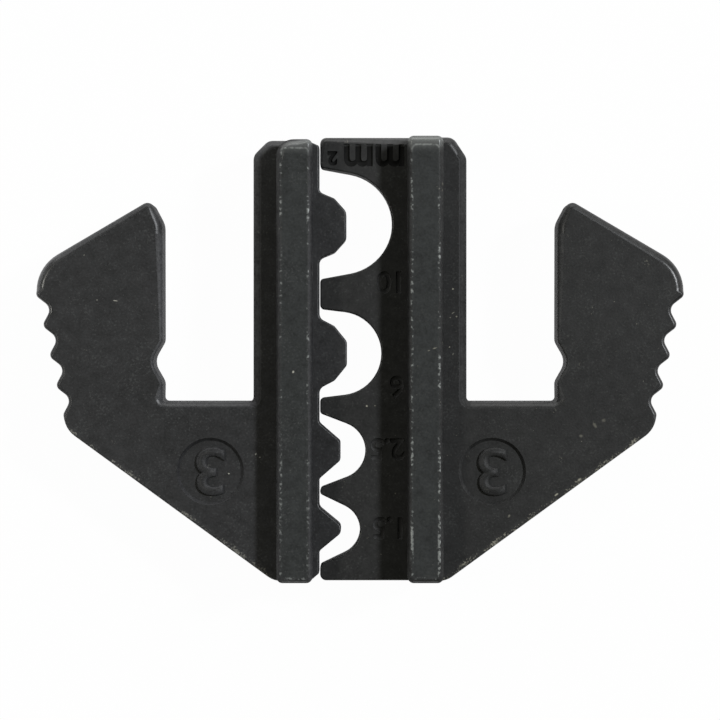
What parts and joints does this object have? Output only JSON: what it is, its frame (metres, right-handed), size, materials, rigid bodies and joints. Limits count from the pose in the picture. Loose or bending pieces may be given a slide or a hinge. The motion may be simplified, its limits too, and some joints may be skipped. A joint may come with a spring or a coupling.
{
  "type": "pair of crimp dies",
  "caption": "Interchangeable crimp dies for bare cable lugs: a nest die and an indenter die with raised rails, U slots and serrated finger arms.",
  "frame": {"origin": "under the middle of the closed pair, level with the backs of the ribs that it lies on", "axes": "+X from the indenter die to the nest die, +Y along the rails to the large nest, +Z out of the marked face"},
  "size_m": [0.048, 0.0329, 0.012],
  "materials": {
    "nest_steel": "black phosphated sintered steel, matte, with fine pits and bright wear on the rail's edges",
    "indenter_steel": "black phosphated sintered steel, matte, with fine pits and light wear on the rail's edges"
  },
  "bodies": {
    "nest_die": {"nest_die": "nest_steel"},
    "indenter_die": {"indenter_die": "indenter_steel"}
  },
  "joints": [
    {"name": "crimp_stroke", "type": "slide", "parent": "nest_die", "child": "indenter_die", "axis": [-1, 0, 0], "range_m": [0, 0.012]}
  ]
}
